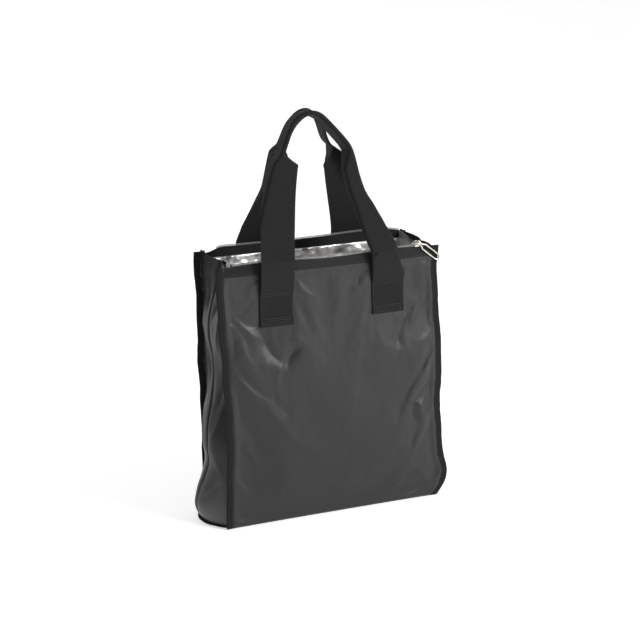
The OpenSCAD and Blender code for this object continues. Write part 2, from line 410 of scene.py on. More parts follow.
# creases, each (x0, z0, x1, z1, width, height, crispness), in mm
frontFolds = [
    (-150, 214, -98, 168, 5.0, 0.7, 0.75), (-104, 172, -50, 100, 6.0, 1.1, 0.72),
    (-62, 112, -12, 88, 7.0, 0.7, 0.5), (-80, 140, -78, 30, 6.5, 0.5, 0.6),
    (-150, 186, -96, 160, 8.0, -0.8, 0.4), (-145, 298, -107, 266, 5.0, -2.6, 0.7),
    (-112, 270, -80, 216, 7.0, -3.2, 0.6), (-146, 286, -100, 246, 6.0, 2.2, 0.5),
    (-143, 222, -92, 168, 6.0, -2.0, 0.5), (-92, 176, -70, 148, 5.0, -1.8, 0.6),
    (-53, 238, -76, 208, 6.0, -3.0, 0.55), (-74, 212, -88, 165, 7.0, -2.4, 0.5),
    (-82, 214, -82, 156, 5.0, 2.4, 0.6), (136, 304, 98, 252, 5.5, -3.0, 0.7),
    (100, 256, 88, 218, 7.0, -2.4, 0.5), (142, 296, 108, 248, 6.0, 2.0, 0.5),
    (150, 214, 122, 176, 5.0, -2.8, 0.7), (126, 180, 86, 114, 7.0, -2.8, 0.55),
    (146, 200, 104, 140, 6.0, 2.2, 0.55), (136, 158, 110, 132, 4.5, -2.6, 0.7),
    (110, 136, 124, 103, 4.5, -3.0, 0.7), (124, 106, 110, 74, 5.5, -2.2, 0.6),
    (124, 140, 132, 108, 5.0, 1.8, 0.6), (143, 336, 108, 318, 3.2, -2.0, 0.8),
    (136, 326, 100, 322, 3.0, 1.6, 0.7), (144, 322, 122, 300, 3.5, 1.4, 0.7),
    (-157, 335, -122, 302, 4.0, -2.4, 0.75), (-108, 308, -132, 287, 3.6, -2.2, 0.7),
    (-150, 322, -128, 312, 4.0, 1.6, 0.6), (-128, 322, -112, 296, 4.0, 1.8, 0.6),
    (-57, 333, -36, 311, 3.2, -1.5, 0.7), (-57, 326, -18, 325, 3.2, -1.3, 0.6),
    (-57, 318, -30, 298, 4.0, 1.2, 0.6), (51, 328, 12, 311, 4.5, -1.6, 0.6),
    (43, 334, 30, 302, 4.0, -1.3, 0.6), (50, 314, 22, 296, 5.0, 1.2, 0.5),
    (-149, 16, -98, 46, 5.0, 2.2, 0.65), (-144, 110, -134, 38, 5.0, 1.8, 0.6),
    (150, 8, 124, 42, 5.0, 1.8, 0.6), (-15, 128, 38, 172, 22.0, 1.6, 0.2),
    (20, 60, 90, 40, 14.0, -1.2, 0.3), (-60, 60, 10, 30, 12.0, -1.2, 0.4),
]
# flats, each (slope, line, line ...): the cloth leans back on the left of all its lines (x0, z0, x1, z1)
frontFacets = [
    (0.170, (-74, 134, -160, 217), (-80, 20, -74, 134)),
    (0.060, (-52, 200, -52, 336), (-160, 235, -52, 200)),
    (0.075, (92, 336, 88, 215), (88, 215, 160, 232)),
    (0.080, (86, 200, 108, 60), (160, 212, 86, 200)),
    (0.050, (150, 62, -160, 42)),
]
rearFacets = [
    (0.080, (80, 150, 90, 20), (160, 190, 80, 150)),
    (0.070, (-84, 20, -70, 150), (-70, 150, -160, 220)),
    (0.060, (-60, 190, -60, 336), (-160, 230, -60, 190)),
]
rearFolds = [
    (-150, 300, -90, 200, 6.0, -3.0, 0.65), (-140, 240, -60, 150, 7.0, 2.8, 0.6),
    (-60, 210, -20, 120, 8.0, -2.6, 0.5), (148, 310, 100, 240, 5.5, -2.8, 0.7),
    (140, 200, 70, 120, 7.0, 2.6, 0.6), (110, 130, 60, 60, 7.0, -2.6, 0.55),
    (-148, 120, -90, 60, 6.0, -2.6, 0.6), (-100, 80, -40, 110, 8.0, 2.2, 0.5),
    (148, 60, 96, 90, 6.0, 2.0, 0.6), (-144, 330, -112, 304, 3.6, -2.0, 0.75),
    (142, 334, 108, 310, 3.6, -2.0, 0.75), (0, 300, 20, 200, 14.0, -1.6, 0.3),
    (-50, 320, -20, 296, 4.0, -1.4, 0.6), (40, 320, 14, 298, 4.0, -1.4, 0.6),
    (-148, 18, -104, 44, 5.0, 2.0, 0.6), (148, 16, 110, 44, 5.0, 2.0, 0.6),
    (20, 180, 60, 60, 12.0, 2.0, 0.4), (-120, 200, -140, 130, 6.0, 1.8, 0.6),
]


def facets(x, z, rows):
    total = np.zeros_like(x)
    for slope, *lines in rows:
        inside = None
        for x0, z0, x1, z1 in lines:
            length = math.hypot(x1 - x0, z1 - z0)
            away = ((x1 - x0) * (z - z0) - (z1 - z0) * (x - x0)) / length
            inside = away if inside is None else np.minimum(inside, away)
        soft = 1.6  # how round the edge between two flats is, mm
        total = np.maximum(total, slope * 0.5 * (inside + np.sqrt(inside**2 + soft**2)))
    return total


def seamX(corner, z):
    sign = -1 if corner.endswith("Left") else 1
    zm = np.asarray(z, float) / mm
    wave = 0.9 * np.sin(zm / 13.0 + len(corner)) * np.sin(zm / 37.0 + sign)
    return sign * (halfWide + (through(body["seamShift"][corner], zm) + wave) * mm)


def wallPoints(side, share, z, depth, creaseShare=1.0):
    # share runs from -1 at the left seam to 1 at the right one, depth is measured inwards from the outer face
    ends = ("frontLeft", "frontRight") if side < 0 else ("rearLeft", "rearRight")
    left, right = seamX(ends[0], z), seamX(ends[1], z)
    x = left + (right - left) * (share + 1) / 2
    inMiddle = 1 - np.abs(share) ** 8
    up = z / wallTop
    out = body["bulge"] * mm * inMiddle * rise(z / 0.075) * rise((0.306 - z) / 0.11)
    foot = body["footBack"] * mm * (1 - np.abs(share) ** 2.4) * rise(1 - z / 0.055)
    radius = body["footRadius"] * mm
    curl = radius - np.sqrt(np.maximum(radius**2 - np.maximum(radius - z, 0) ** 2, 0))
    rows = frontFolds if side < 0 else rearFolds
    xm, zm = x / mm, z / mm
    held = rise((1 - np.abs(share)) / 0.07) * rise(up / 0.04) * rise((1.0 - up) / 0.035)
    crease = (folds(xm, zm, rows) - facets(xm, zm, frontFacets if side < 0 else rearFacets)) * mm
    seed = 3.0 if side < 0 else 11.0
    waves = 1.3 * cloud(xm, zm, 62.0, seed) + 0.75 * cloud(xm, zm, 26.0, seed + 1, (1.0, 0.7))
    crease += mm * (waves + 0.28 * cloud(xm, zm, 10.0, seed + 2, (1.0, 0.7)))
    # the foam keeps the cloth from sinking further than this, so that the walls still close flat
    least = -1.0 * mm
    stand = out + crease * held * creaseShare
    stand = least + 0.5 * (stand - least + np.sqrt((stand - least) ** 2 + (1.2 * mm) ** 2)) - 0.25 * mm
    y = faceY - depth + np.where(held > 0, stand * held + out * (1 - held), out) - foot - curl
    return x, side * y, z


handles = {
    -1: {
        # the webbing's middle line, (x, height above the rim) in mm, from the left foot to the right
        "line": [(-86.5, 0), (-84, 30), (-79, 77), (-75, 103), (-70, 127), (-65.5, 138), (-60, 150),
                 (-53.5, 163), (-44.5, 175), (-33, 181.5), (-22, 182.5), (-11, 179), (2, 166), (16, 150),
                 (26, 137),
                 (30.5, 124), (35, 100), (39, 84), (46.5, 62), (56, 36), (69, 6), (71, 0)],
        "feet": (-84.5, 75.0),
        # how much of each half still lies flat, (height, mm), before the rest turns inwards
        "flatLeft": {"outer": [(0, 23), (45, 22), (80, 15), (118, 7), (134, 0), (140, 0)],
                     "inner": [(0, 23), (123, 23), (134, 1), (140, 0)]},
        "flatRight": {"outer": [(0, 11), (35, 8), (83, 1), (100, 0), (140, 0)],
                      "inner": [(0, 20), (60, 14), (112, 13), (134, 0), (140, 0)]},
    },
    1: {
        "line": [(-72, 0), (-67, 16), (-58, 52), (-52.5, 77), (-49, 110), (-46, 130), (-41, 146), (-33, 164),
                 (-22, 176), (-12, 180), (-2, 178), (7, 164), (14, 147), (20, 136), (32, 127), (42, 116),
                 (47, 104), (52, 80), (59, 49), (65, 20), (67, 0)],
        "feet": (-76.0, 64.0),
        "flatLeft": {"outer": [(0, 22), (20, 21), (50, 15), (75, 10), (125, 8), (137, 0), (140, 0)],
                     "inner": [(0, 23), (112, 22), (134, 0), (140, 0)]},
        "flatRight": {"outer": [(0, 22), (40, 18), (90, 8), (125, 2), (135, 0)],
                      "inner": [(0, 22), (108, 22), (120, 16), (132, 1), (140, 0)]},
    },
    "lean": 10.0,      # how far each loop leans over the mouth, degrees
    "gripThick": 3.6,  # how thick the folded grip is, mm
    "webHalf": 23.2,   # half of the webbing's width, mm
}


settling = {
    "frames": 24,
    "quality": 4,
    "spare": 0.007,  # how much larger the panel is cut than its frame of seams
    "limit": 1.9,    # how far a point may move, mm
    "sink": 0.5,     # how far it may sink into the foam, mm
}


def settle(side, grid, nu, nv):
    # lets the sewn-in panel, cut a little larger than its frame of seams, buckle and hang as cloth
    mesh = bpy.data.meshes.new("settling")
    mesh.from_pydata([tuple(p) for p in grid], [], gridFaces(nu, nv))
    cloth = bpy.data.objects.new("settling", mesh)
    bpy.context.scene.collection.objects.link(cloth)
    pins = cloth.vertex_groups.new(name="sewn")
    feet = handles[side]["feet"]
    held, firm = [], []
    for k, p in enumerate(grid):
        i, j = k % nu, k // nu
        sewn = any(abs(p[0] / mm - foot) < 24 and 266 < p[2] / mm < 314 for foot in feet)
        if i in (0, nu - 1) or j in (0, nv - 1, nv - 2):
            held.append(k)
        elif sewn:
            firm.append(k)
    pins.add(held, 1.0, "REPLACE")
    pins.add(firm, 0.55, "REPLACE")
    modifier = cloth.modifiers.new("cloth", "CLOTH")
    rules = modifier.settings
    rules.quality = settling["quality"]
    rules.mass = 0.12
    rules.tension_stiffness = 12
    rules.compression_stiffness = 12
    rules.shear_stiffness = 4
    rules.bending_stiffness = 0.35
    rules.tension_damping = rules.compression_damping = rules.shear_damping = 12
    rules.bending_damping = 1.0
    rules.air_damping = 4
    rules.vertex_group_mass = "sewn"
    rules.pin_stiffness = 4
    rules.shrink_min = rules.shrink_max = -settling["spare"]
    rules.effector_weights.gravity = 0.02
    modifier.collision_settings.use_collision = False
    modifier.point_cache.frame_end = settling["frames"]
    for f in range(1, settling["frames"] + 1):
        bpy.context.scene.frame_set(f)
    shaped = cloth.evaluated_get(bpy.context.evaluated_depsgraph_get()).data
    result = np.empty(len(grid) * 3, np.float32)
    shaped.vertices.foreach_get("co", result)
    result = result.reshape(-1, 3).astype(float)
    bpy.context.scene.frame_set(1)
    bpy.data.objects.remove(cloth)
    moved = result - grid
    limit = settling["limit"] * mm
    # the middle is kept taut by the foam behind it
    across = np.abs(grid[:, 0]) / np.abs(grid[:, 0]).max()
    keep = 0.18 + 0.82 * np.maximum(rise((across - 0.45) / 0.35), 0.5 * rise((grid[:, 2] - 0.24) / 0.04))
    moved = limit * np.tanh(moved / limit) * keep[:, None]
    # the foam stops it from sinking inwards
    sink = settling["sink"] * mm
    proud = side * moved[:, 1]
    moved[:, 1] = side * 0.5 * (proud - sink + np.sqrt((proud + sink) ** 2 + (0.4 * mm) ** 2))
    most = [round(float(v) / mm, 2) for v in np.abs(moved).max(0)]
    print("settled", "front" if side < 0 else "rear", "most", most)
    return grid + moved


settled = {}


def makeWall(side, name, depth, finish, top, nodes, slot, thick):
    nu, nv = body["columns"], body["rows"]
    share = np.linspace(-1, 1, nu)[None, :].repeat(nv, 0)
    up = np.linspace(0, 1, nv)[:, None].repeat(nu, 1)
    low = frontLow.z + (0.0002 if depth < 0.001 else depth)
    z = low + (top - low) * up
    x, y, z = wallPoints(side, share, z, depth)
    outer = np.stack([x, y, z], -1).reshape(-1, 3)
    if depth < 0.001:
        before = outer.copy()
        outer = settle(side, outer, nu, nv)
        settled[side] = (z[:, 0].copy(), (outer - before).reshape(nv, nu, 3))
    elif side in settled:
        # the lining follows the panel it is sewn to
        heights, moved = settled[side]
        rows = np.interp(z[:, 0], heights, np.arange(len(heights)))
        below = np.minimum(rows.astype(int), len(heights) - 2)
        part = (rows - below)[:, None, None]
        outer += (moved[below] * (1 - part) + moved[below + 1] * part).reshape(-1, 3)
    if slot == "foil":
        # crumpled film: broad flats between sharp ridges
        xm, zm = x.ravel() / mm, z.ravel() / mm
        broad = np.abs(cloud(xm, zm, 15.0, 61.0 + side, (1.0, 1.25)))
        broad += 0.6 * np.abs(cloud(xm + zm * 0.7, zm - xm * 0.4, 10.0, 67.0))
        outer[:, 1] -= side * 2.2 * mm * (broad - 0.42) * rise((1 - np.abs(share.ravel())) / 0.04)
    inner = outer.copy()
    inner[:, 1] -= side * thick
    cloth = np.stack([x, z], -1).reshape(-1, 2)
    faces = sheetFaces(nu, nv, side > 0, side > 0)
    piece = makePiece(name, np.vstack([outer, inner]), faces, finish, np.vstack([cloth, cloth]))
    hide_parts(*nodes)
    return piece


for side, word in ((-1, "front"), (1, "rear")):
    cover = [word + "_shell", word + "_foam"]
    panel = makeWall(side, word + "Panel", 0.0, nylon, wallTop, cover, "nylon", 1.0 * mm)
    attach(panel, word + "_wall")
    liningTop = liningHigh.z + (1.5 if side < 0 else 11) * mm
    liningDepth = faceY - innerY - 1.2 * mm
    name, nodes = word + "FoilLining", [word + "_lining"]
    lining = makeWall(side, name, liningDepth, foil, liningTop, nodes, "foil", 0.5 * mm)
    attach(lining, word + "_wall")
print("walls made")

gusset = {
    "crease": {  # how far the middle line stands out (+) or in (-), (height, mm)
        "left": [(0, 22), (12, 30), (26, 34), (44, 31), (60, 24), (77, 18), (102, 20), (124, 18), (167, 10),
                 (201, 4), (256, 8), (288, 4), (318, -8), (336, -13), (345, -15)],
        "right": [(0, 10), (15, 15), (40, 16), (80, 12), (124, 10), (167, 5), (201, 1), (256, -1), (300, 1),
                  (345, 9)],
    },
    "dip": {"left": 0.5, "right": 2},  # how far the rim's middle is pulled down, mm
    "rearLift": 6,                     # how far the rim rises to meet the rear wall's, mm
    "columns": 81,
    "rows": 180,
}
gussetFolds = [
    (-30, 330, -8, 270, 4.0, -2.2, 0.6), (28, 326, 10, 280, 4.0, -2.0, 0.6),
    (-34, 300, -20, 240, 3.6, 1.8, 0.6), (30, 250, 12, 180, 4.0, -1.8, 0.6),
    (-32, 220, -14, 150, 4.0, -1.8, 0.6), (-30, 160, -10, 110, 4.0, 1.8, 0.6),
    (32, 160, 16, 90, 4.5, 1.8, 0.6), (-30, 60, -8, 30, 5.0, -2.0, 0.6), (32, 60, 12, 24, 5.0, -1.8, 0.6),
    (-20, 90, -34, 60, 4.0, 1.5, 0.6), (20, 300, 34, 250, 3.5, 1.6, 0.6),
]


def gussetPoints(word, share, z, depth, creaseShare=1.0):
    # share runs from -1 at the front seam to 1 at the rear one
    sign = -1 if word == "left" else 1
    front, rear = seamX("front" + word.title(), z), seamX("rear" + word.title(), z)
    edge = front + (rear - front) * (share + 1) / 2
    out = through(gusset["crease"][word], z / mm) * mm
    deep = np.abs(share)
    fold = rise((out + 2 * mm) / (10 * mm))  # 1 where it bulges softly, 0 where it folds sharply in
    shape = (1 - deep**2.2) * fold + (1 - deep) * (1 - fold)
    ridge = -4.2 * mm * np.exp(-deep / 0.032) * rise((z - 0.008) / 0.02)  # the pressed line down the middle
    held = rise((1 - deep) / 0.10) * rise(z / 0.012)
    ym, zm = share * 43, z / mm
    crease = folds(ym, zm, gussetFolds) + cloud(ym, zm, 30.0, 21.0 + sign, (1, 0.6))
    crease = (crease + 0.5 * cloud(ym, zm, 12.0, 23.0 + sign, (1, 0.6))) * mm
    x = edge + sign * (out * shape + ridge + crease * held * creaseShare - depth)
    y = share * (innerY + (0.9 * mm if depth < 0.001 else -0.6 * mm))
    return x, y, z


def makeGusset(word, name, depth, finish, top, creaseShare, nodes, thick):
    sign = -1 if word == "left" else 1
    nu, nv = gusset["columns"], gusset["rows"]
    line = np.linspace(-1, 1, nu)
    share = (np.sign(line) * np.abs(line) ** 1.35)[None, :].repeat(nv, 0)
    low = 0.0004 + depth
    z = (low + (top - low) * np.linspace(0, 1, nv))[:, None].repeat(nu, 1)
    x, y, z = gussetPoints(word, share, z, depth, creaseShare)
    # the rim dips towards the middle, where the fold is pulled down, and meets the rear rim
    dip = rise((z / top - 0.93) / 0.07) * (1 - np.abs(share)) * gusset["dip"][word] * mm
    dip -= rise((z / top - 0.95) / 0.05) * rise((share - 0.5) / 0.5) * gusset["rearLift"] * mm
    outer = np.stack([x, y, z - dip], -1).reshape(-1, 3)
    inner = outer.copy()
    inner[:, 0] -= sign * thick
    cloth = np.stack([y, z], -1).reshape(-1, 2)
    faces = sheetFaces(nu, nv, sign < 0, sign > 0)
    piece = makePiece(name, np.vstack([outer, inner]), faces, finish, np.vstack([cloth, cloth]))
    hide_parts(*nodes)
    return piece


def foldWithBag(piece):
    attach(piece, "soft_core")
    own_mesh(piece)


for word in ("left", "right"):
    shell, lining = ["gusset_" + word + "_shell"], ["gusset_" + word + "_lining"]
    high = gussetTop + 2 * mm
    outer = makeGusset(word, word + "Gusset", 0.0, sideNylonShadeAndLight, high, 1.0, shell, 0.8 * mm)
    foldWithBag(outer)
    inner = makeGusset(word, word + "GussetFoil", 2.4 * mm, foil, gussetTop, 0.7, lining, 0.5 * mm)
    foldWithBag(inner)
print("gussets made")


def makeBase(name, low, thick, finish, nodes, shrink, seed, lumps):
    nu, nv = 130, 44
    share = np.linspace(-1, 1, nu)[None, :].repeat(nv, 0)
    cross = np.linspace(-1, 1, nv)[:, None].repeat(nu, 1)
    tips = [through(gusset["crease"][word], 0.0) * mm for word in ("left", "right")]
    tip = np.where(share < 0, tips[0], tips[1]) * (1 - np.abs(cross) ** 2.2)
    halfAt = halfWide - 1.5 * mm + tip - shrink
    x = share * halfAt
    y = cross * (innerY - shrink * 0.6)
    xm, ym = x / mm, y / mm
    held = rise((1 - np.abs(share)) / 0.06) * rise((1 - np.abs(cross)) / 0.12)
    z = low + lumps * mm * held * (0.5 + 0.5 * cloud(xm, ym, 34.0, seed))
    top = np.stack([x, y, z + thick], -1).reshape(-1, 3)
    bottom = np.stack([x, y, np.full_like(z, low) + 0.4 * (z - low)], -1).reshape(-1, 3)
    cloth = np.stack([x, y], -1).reshape(-1, 2)
    both = np.vstack([top, bottom])
    faces = sheetFaces(nu, nv, False, False)
    piece = makePiece(name, both, faces, finish, np.vstack([cloth, cloth]))
    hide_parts(*nodes)
    return piece


baseCover = ["base_shell", "base_foam"]
foldWithBag(makeBase("basePanel", 0.3 * mm, 0.9 * mm, nylon, baseCover, 1.0 * mm, 41.0, 0.8))
baseFoil = ["base_lining"]
foldWithBag(makeBase("baseFoilLining", 3.2 * mm, 0.5 * mm, foil, baseFoil, 4.2 * mm, 43.0, 2.2))
print("base made")


binding = {"wide": 10.2, "thick": 2.6, "lap": 1.4}  # mm


def sweep(name, path, outs, widths, finish, outline):
    # carries a closed outline of (out, over) points along a path, where outs gives the two directions there
    n = len(outline)
    points, flat = [], []
    run = 0.0
    for k, p in enumerate(path):
        if k:
            run += (path[k] - path[k - 1]).length
        a, b = outs[k]
        for u, v in outline:
            points.append(p + a * (u * widths[k]) + b * v)
            flat.append((u * widths[k] + (0.3 if v < 0 else 0.0), run))
    faces = gridFaces(n, len(path), 0, False, True)
    faces.append(tuple(reversed(range(n))))
    faces.append(tuple(range((len(path) - 1) * n, len(path) * n)))
    return makePiece(name, points, faces, finish, flat)


def bindingOutline():
    t = binding["thick"] * mm / 2
    rows = [(0.0, t * 0.8), (0.15, t), (0.5, t), (0.85, t), (0.95, t * 0.8), (1.0, t * 0.35)]
    return rows + [(u, -v) for u, v in reversed(rows)]


def makeBinding(side, word):
    wall = "front" if side < 0 else "rear"
    sign = -1 if word == "left" else 1
    corner = wall + word.title()
    steps = 150
    path, outs, widths = [], [], []
    top = gussetTop + (5 if side > 0 else 3) * mm
    for k in range(steps):
        z = 1.2 * mm + (top - 1.2 * mm) * k / (steps - 1)
        zm = z / mm
        ripple = 0.7 * math.sin(zm / 11.0 + side) * noise.noise(Vector((zm / 24.0, sign, side)))
        ripple += 0.5 * noise.noise(Vector((zm / 9.0, side, sign * 3.0)))
        x = float(seamX(corner, z)) - sign * binding["lap"] * mm
        y = side * (faceY - binding["thick"] * mm / 2 + ripple * 1.2 * mm)
        path.append(Vector((x, y, z)))
        turn = math.radians(6 * noise.noise(Vector((zm / 40.0, side * 2.0, sign))) + 8)
        a = Vector((sign * math.cos(turn), side * math.sin(turn) * 0.35, 0)).normalized()
        b = Vector((0, 0, 1)).cross(a).normalized() * (sign * -side)
        outs.append((a, b))
        widths.append((binding["wide"] + 0.5 * noise.noise(Vector((zm / 15.0, 5.0 + side, sign)))) * mm)
    piece = sweep(corner + "Binding", path, outs, widths, bindingTape, bindingOutline())
    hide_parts(wall + "_binding_" + word)
    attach(piece, wall + "_wall")
    return path, outs


bindingPaths = {}  # kept for the rows of stitches
for side in (-1, 1):
    for word in ("left", "right"):
        bindingPaths[(side, word)] = makeBinding(side, word)

for word in ("left", "right"):
    sign = -1 if word == "left" else 1
    path, outs, widths = [], [], []
    for share in np.linspace(-0.97, 0.97, 60):
        x, y, _ = gussetPoints(word, np.array(share), np.array(0.002), 0.0, 0.0)
        ripple = 0.5 * noise.noise(Vector((float(share) * 4, sign, 9.0)))
        path.append(Vector((float(x) - sign * 1.5 * mm, float(y), (1.9 + ripple * 0.6) * mm)))
        a = Vector((sign, 0.0, 0.10 + 0.1 * ripple)).normalized()
        outs.append((a, Vector((0, 0, 1))))
        widths.append((binding["wide"] - 3.4) * mm)
    outline = [(u, v * 0.9) for u, v in bindingOutline()]
    piece = sweep("base" + word.title() + "Binding", path, outs, widths, bindingTape, outline)
    if sign > 0:
        piece.data.flip_normals()
    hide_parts("base_binding_" + word)
    foldWithBag(piece)
print("bound seams made")


def makeStitches(name, path, facing, rider, length, gap, radius):
    # a row of short thread loops along a line of points
    run = [0.0]
    for a, b in zip(path, path[1:]):
        run.append(run[-1] + (b - a).length)
    total = run[-1]
    points, faces = [], []
    at = 0.0
    run = np.array(run)
    spots = np.array([list(p) for p in path])
    up = Vector((0, facing, 0))

    def on(s):
        return Vector([float(np.interp(s, run, spots[:, i])) for i in range(3)])

    pitch = (length + gap) * mm
    loop = ((0.0, 0.45, -0.25), (0.18, 0.9, 0.1), (0.5, 1.0, 0.32), (0.82, 0.9, 0.1), (1.0, 0.45, -0.25))
    while at + length * mm < total:
        start = len(points)
        p0, p1 = on(at), on(at + length * mm)
        over = (p1 - p0).normalized().cross(up).normalized()
        for t, size, lift in loop:
            centre = p0.lerp(p1, t) + up * lift * radius * mm
            for k in range(6):
                turn = math.tau * k / 6
                points.append(centre + (over * math.cos(turn) + up * math.sin(turn)) * radius * mm * size)
        faces += gridFaces(6, 5, start, False, True)
        faces.append(tuple(start + i for i in reversed(range(6))))
        faces.append(tuple(start + 24 + i for i in range(6)))
        at += pitch
    piece = makePiece(name, points, faces, thread)
    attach(piece, rider)


for (side, word), (path, outs) in bindingPaths.items():
    wall = "front" if side < 0 else "rear"
    proud = Vector((0, side * binding["thick"] / 2 * mm, 0))
    line = [p + a * (2.6 * mm) + proud for p, (a, b) in zip(path, outs)]
    makeStitches(wall + word.title() + "BindingStitches", line, side, wall + "_wall", 2.8, 1.2, 0.26)
print("seam stitches made")


zipSizes = {
    # how far each coil's line rises along the mouth, (x, mm)
    "frontTop": [(-150, -1.0), (-133, 0.6), (-108, 0.8), (-57, 0), (-7, -1.8), (47, -0.4), (94, 1.0),
                 (126, 0.2)],
    "rearTop": [(-150, 1.0), (-125, 4.8), (-99, 4.8), (-15, 4.2), (37, 5.2), (82, 6.4), (128, 4.8),
                (144, 1.5)],
    "toothPitch": 1.5,
    "toothRadius": 0.42,
    "coilRadius": 1.15,
}


def zipLine(side, x):
    # the coil's centre, and how far it wanders in depth
    table = zipSizes["frontTop"] if side < 0 else zipSizes["rearTop"]
    xm = x / mm
    z = (coilLow.z + coilHigh.z) / 2 + float(through(table, xm)) * mm
    wave = 0.8 * noise.noise(Vector((xm / 38.0, side * 2.0, 4.0))) * mm
    y = side * (innerY + 0.6 * mm) + wave
    # the closed end of each tape is drawn in towards the middle over the folded gusset
    near = rise((-x - (halfWide - 26 * mm)) / (22 * mm))
    y = y * (1 - 0.10 * near)
    return Vector((x, y, z - 2.0 * mm * near))


def wallSpot(side, x, z, depth):
    # a point of the wall's face at this place along it
    share = max(-1, min(1, x / halfWide))
    return np.array(wallPoints(side, np.array(share), np.array(z), depth), float)


def makeZipTape(side, left, right, wall):
    steps, high = 150, 9
    outer, flat = [], []
    for k in range(steps):
        x = left + (right - left) * k / (steps - 1)
        top = zipLine(side, x)
        foot = wallSpot(side, x, wallTop - 1.0 * mm, -0.5 * mm)
        for j in range(high):
            t = j / (high - 1)
            y = foot[1] * (1 - rise(t)) + top.y * rise(t)
            z = (wallTop - 1.5 * mm) * (1 - t) + (top.z - 0.6 * mm) * t
            pucker = 0.35 * mm * math.sin(x / mm / 2.1) * (1 - t)
            pucker *= noise.noise(Vector((x / mm / 17.0, side, 2.0)))
            outer.append((x, y + side * 0.4 * mm + pucker, z))
            flat.append((x, z))
    inner = [(x, y - side * 0.9 * mm, z) for x, y, z in outer]
    faces = sheetFaces(high, steps, side < 0, side > 0)
    piece = makePiece(wall + "ZipTape", outer + inner, faces, zipTape, flat + flat)
    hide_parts(wall + "_zip_tape")
    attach(piece, wall + "_wall")


def makeZipCoil(side, left, right, wall):
    # a flattened helix of stiff thread, bent round the tape's edge
    turns = int((right - left) / (zipSizes["toothPitch"] * mm))
    perTurn, ring = 8, 5
    points = []
    for k in range(turns * perTurn + 1):
        turn = math.tau * k / perTurn
        x = left + (right - left) * k / (turns * perTurn)
        centre = zipLine(side, x)
        r = zipSizes["coilRadius"] * mm
        out = Vector((0, math.cos(turn) * r * 0.8, math.sin(turn) * r * 1.15))
        climb = zipSizes["toothPitch"] * mm / math.tau
        tangent = Vector((climb, -math.sin(turn) * r * 0.8, math.cos(turn) * r * 1.15)).normalized()
        one = out.normalized()
        one = (one - tangent * one.dot(tangent)).normalized()
        two = tangent.cross(one)
        for i in range(ring):
            a = math.tau * i / ring
            spoke = (one * math.cos(a) + two * math.sin(a)) * zipSizes["toothRadius"] * mm
            points.append(centre + out + spoke)
    faces = gridFaces(ring, turns * perTurn + 1, 0, False, True)
    piece = makePiece(wall + "ZipCoil", points, faces, coilPlastic)
    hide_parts(wall + "_zip_coil")
    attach(piece, wall + "_wall")


for side, wall in ((-1, "front"), (1, "rear")):
    tapeLow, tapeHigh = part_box(wall + "_zip_tape")
    runLow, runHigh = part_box(wall + "_zip_coil")
    ends = ("frontLeft", "frontRight") if side < 0 else ("rearLeft", "rearRight")
    tapeEnds = [float(seamX(end, wallTop)) for end in ends]
    makeZipTape(side, tapeEnds[0] - 2 * mm, tapeEnds[1] - 1 * mm, wall)
    makeZipCoil(side, runLow.x + (9 if side < 0 else 16) * mm, runHigh.x, wall)
    for row, drop in enumerate((1.6, 4.4)):
        line = []
        for k in range(160):
            x = tapeLow.x + 2 * mm + (tapeHigh.x - tapeLow.x - 4 * mm) * k / 159
            line.append(Vector(wallSpot(side, x, wallTop - drop * mm, -0.25 * mm)))
        makeStitches(wall + "HemStitches" + str(row), line, side, wall + "_wall", 2.4, 1.2, 0.24)
print("zip tapes made")


patchLow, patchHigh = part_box("front_patch_left")
webThick = patchHigh.y - patchLow.y
pivots = {j["name"]: Vector(j["pos_m"]) for j in frame["joints"] if "pos_m" in j}
rimAt = {-1: pivots["front_handle_swing"], 1: pivots["rear_handle_swing"]}
stitchAt = {-1: pivots["front_root_tilt"], 1: pivots["rear_root_tilt"]}


def handlePath(side):
    rows = [Vector((x, h)) for x, h in handles[side]["line"]]
    # a smooth curve through the rows
    points = []
    for k in range(len(rows) - 1):
        p0, p1, p2, p3 = rows[max(k - 1, 0)], rows[k], rows[k + 1], rows[min(k + 2, len(rows) - 1)]
        pieces = max(2, int((p2 - p1).length / 2.2))
        for i in range(pieces):
            points.append(spline(p0, p1, p2, p3, i / pieces))
    points.append(rows[-1])
    for _ in range(6):
        middles = [(a + b * 2 + c) / 4 for a, b, c in zip(points, points[1:], points[2:])]
        points = [points[0]] + middles + [points[-1]]
    return points


def flatAt(h, table, wide):
    # how much of a half lies flat at height h; below the rim it opens out to the full width
    stitched = 23.4
    opening = wide * stitched + (1 - wide) * table[0][1]
    return float(np.interp(h, *zip((-40, stitched), (-26, opening), *table))) * mm


